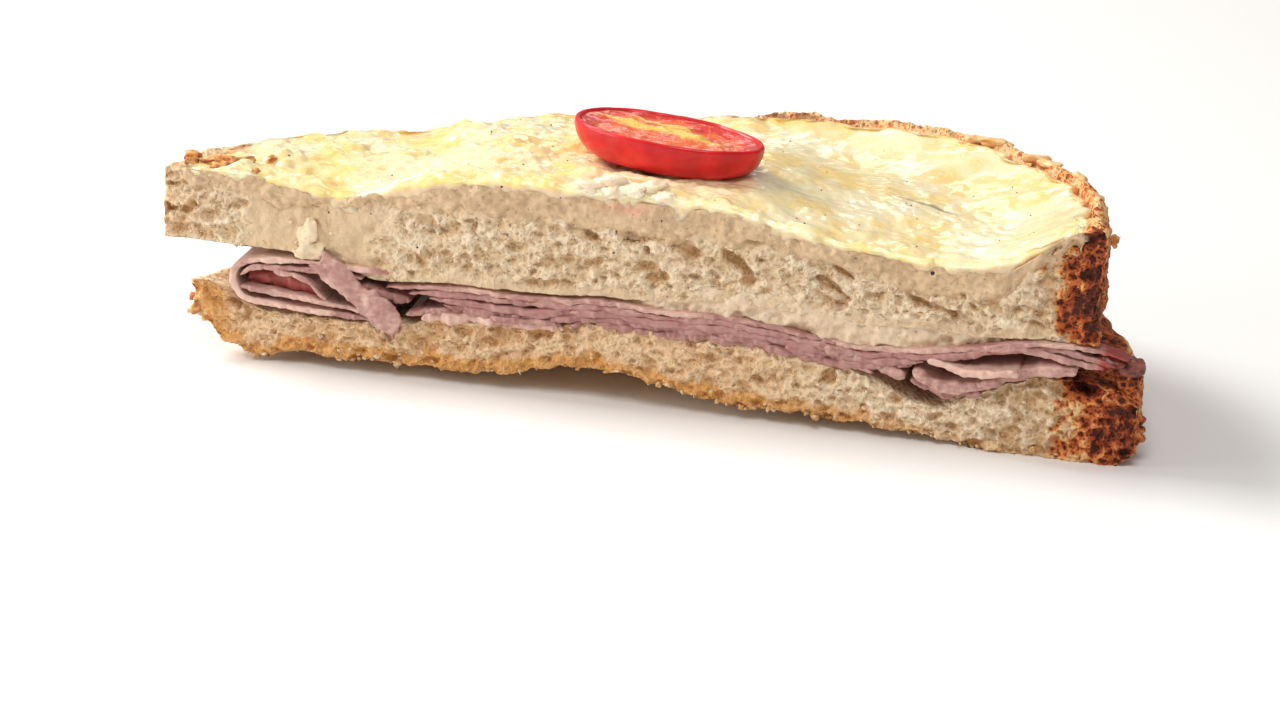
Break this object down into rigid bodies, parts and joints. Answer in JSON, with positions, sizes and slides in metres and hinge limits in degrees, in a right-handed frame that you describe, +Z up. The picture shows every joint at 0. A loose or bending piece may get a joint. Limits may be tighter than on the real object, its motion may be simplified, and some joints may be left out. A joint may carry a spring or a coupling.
{
  "type": "croque monsieur half",
  "caption": "Cut half of a toasted ham and cheese sandwich with bechamel, melted cheese and half a small tomato on top.",
  "frame": {"origin": "middle of the bounding box's underside, on the surface that the half rests on", "axes": "+X along the cut towards the dark thick end of the crust, -Y out of the cut face, +Z up"},
  "size_m": [0.1428, 0.0562, 0.0376],
  "materials": {
    "bread": "matte, open crumb with a browned crust",
    "bechamel": "satin, smooth with pepper specks",
    "cheese": "glossy, melted",
    "ham": "moist satin",
    "tomato": "glossy, wet"
  },
  "bodies": {
    "root": {"bread_bottom": "bread", "bread_top": "bread", "bechamel_inner": "bechamel", "bechamel_top": "bechamel", "cheese_top": "cheese", "ham_sheet_top": "ham", "ham_sheet_middle": "ham", "ham_sheet_left": "ham", "ham_sheet_right": "ham", "ham_fold_outer": "ham", "ham_fold_inner": "ham", "ham_flap": "ham", "ham_scrap_left": "ham", "ham_scrap_right": "ham", "tomato_half": "tomato"}
  },
  "joints": []
}
